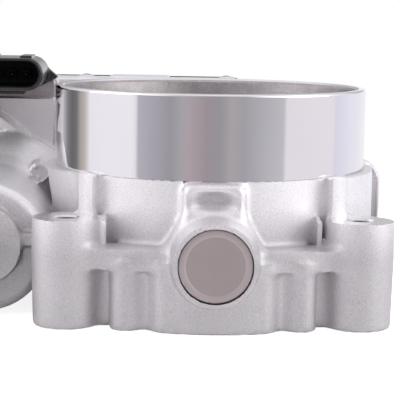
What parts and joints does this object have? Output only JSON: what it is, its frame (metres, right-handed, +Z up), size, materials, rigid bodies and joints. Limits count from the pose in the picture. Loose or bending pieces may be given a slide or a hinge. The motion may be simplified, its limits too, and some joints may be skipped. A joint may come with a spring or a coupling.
{
  "type": "throttle body",
  "caption": "Electronic throttle body: cast housing with a turned inlet ring, butterfly plate on a sprung shaft, drive motor, gear train, rear cover and plug socket.",
  "frame": {"origin": "centre of the bore on the manifold face", "axes": "+Z up the bore to the inlet ring, +Y along the shaft towards the gear case, motor on the -X side"},
  "size_m": [0.166, 0.1514, 0.0792],
  "materials": {
    "cast_aluminium": "bead-blasted casting with turned ring",
    "cap_zinc": "matt phosphate",
    "bearing_steel": "ground steel",
    "seal_rubber": "matt rubber",
    "shaft_steel": "ground steel",
    "plate_brass": "stamped metal",
    "screw_steel": "black zinc",
    "gear_nylon": "natural nylon",
    "magnet_ferrite": "ferrite and carbon",
    "spring_steel": "drawn wire",
    "motor_zinc": "zinc plate",
    "lamination_steel": "stamped laminations",
    "winding_copper": "enamelled copper",
    "brass": "brass and tinned brass",
    "black_plastic": "glass-filled nylon",
    "cover_metal": "pressed sheet",
    "board_green": "circuit board",
    "seal_red": "silicone"
  },
  "bodies": {
    "housing": {"housing": "cast_aluminium", "front_end_cap": "cap_zinc", "needle_bearing_shell": "bearing_steel", "needle_rollers": "bearing_steel", "shaft_seals": "seal_rubber", "rear_bearing_outer": "bearing_steel", "rear_bearing_balls": "bearing_steel", "return_spring": "spring_steel", "spring_bush": "gear_nylon", "closed_stop_pin": "bearing_steel", "gear_pins": "bearing_steel", "motor_can": "motor_zinc", "motor_magnets": "magnet_ferrite", "motor_bushings": "brass", "motor_end_plate": "black_plastic", "motor_brushes": "magnet_ferrite", "motor_terminals": "brass", "motor_screws": "screw_steel", "motor_wave_spring": "screw_steel", "gear_cover": "cover_metal", "cover_gasket": "seal_rubber", "cover_screws": "screw_steel", "sensor_board": "board_green", "sensor_leads": "brass", "connector_shell": "black_plastic", "connector_pins": "brass", "connector_seal": "seal_red"},
    "throttle": {"throttle_shaft": "shaft_steel", "throttle_plate": "plate_brass", "plate_screws": "screw_steel", "throttle_gear": "gear_nylon", "sensor_magnet": "magnet_ferrite", "rear_bearing_inner": "bearing_steel"},
    "gear_a": {"intermediate_gear_a": "gear_nylon"},
    "gear_b": {"intermediate_gear_b": "gear_nylon"},
    "rotor": {"motor_shaft": "bearing_steel", "motor_armature": "lamination_steel", "motor_winding": "winding_copper", "motor_pinion": "brass"}
  },
  "joints": [
    {"name": "throttle_hinge", "type": "hinge", "parent": "housing", "child": "throttle", "pos_m": [0, 0, 0.0215], "axis": [0, -1, 0], "range_deg": [-7, 78], "stiffness_Nm_per_rad": 0.08, "deforming": ["return_spring"]},
    {"name": "gear_b_spin", "type": "hinge", "parent": "housing", "child": "gear_b", "pos_m": [-0.02121, 0.068, 0.04128], "axis": [0, -1, 0], "range_deg": [-245.6, 22.5]},
    {"name": "gear_a_spin", "type": "hinge", "parent": "housing", "child": "gear_a", "pos_m": [-0.04578, 0.073, 0.03666], "axis": [0, -1, 0], "range_deg": [-57.1, 630.9]},
    {"name": "motor_spin", "type": "hinge", "parent": "housing", "child": "rotor", "pos_m": [-0.0705, 0, 0.0215], "axis": [0, -1, 0], "range_deg": [-1981.7, 178.3]}
  ],
  "couplings": [
    {"joint": "gear_b_spin", "follows": "throttle_hinge", "ratio": -3.1429},
    {"joint": "gear_a_spin", "follows": "throttle_hinge", "ratio": 8.0816},
    {"joint": "motor_spin", "follows": "throttle_hinge", "ratio": -25.399}
  ]
}
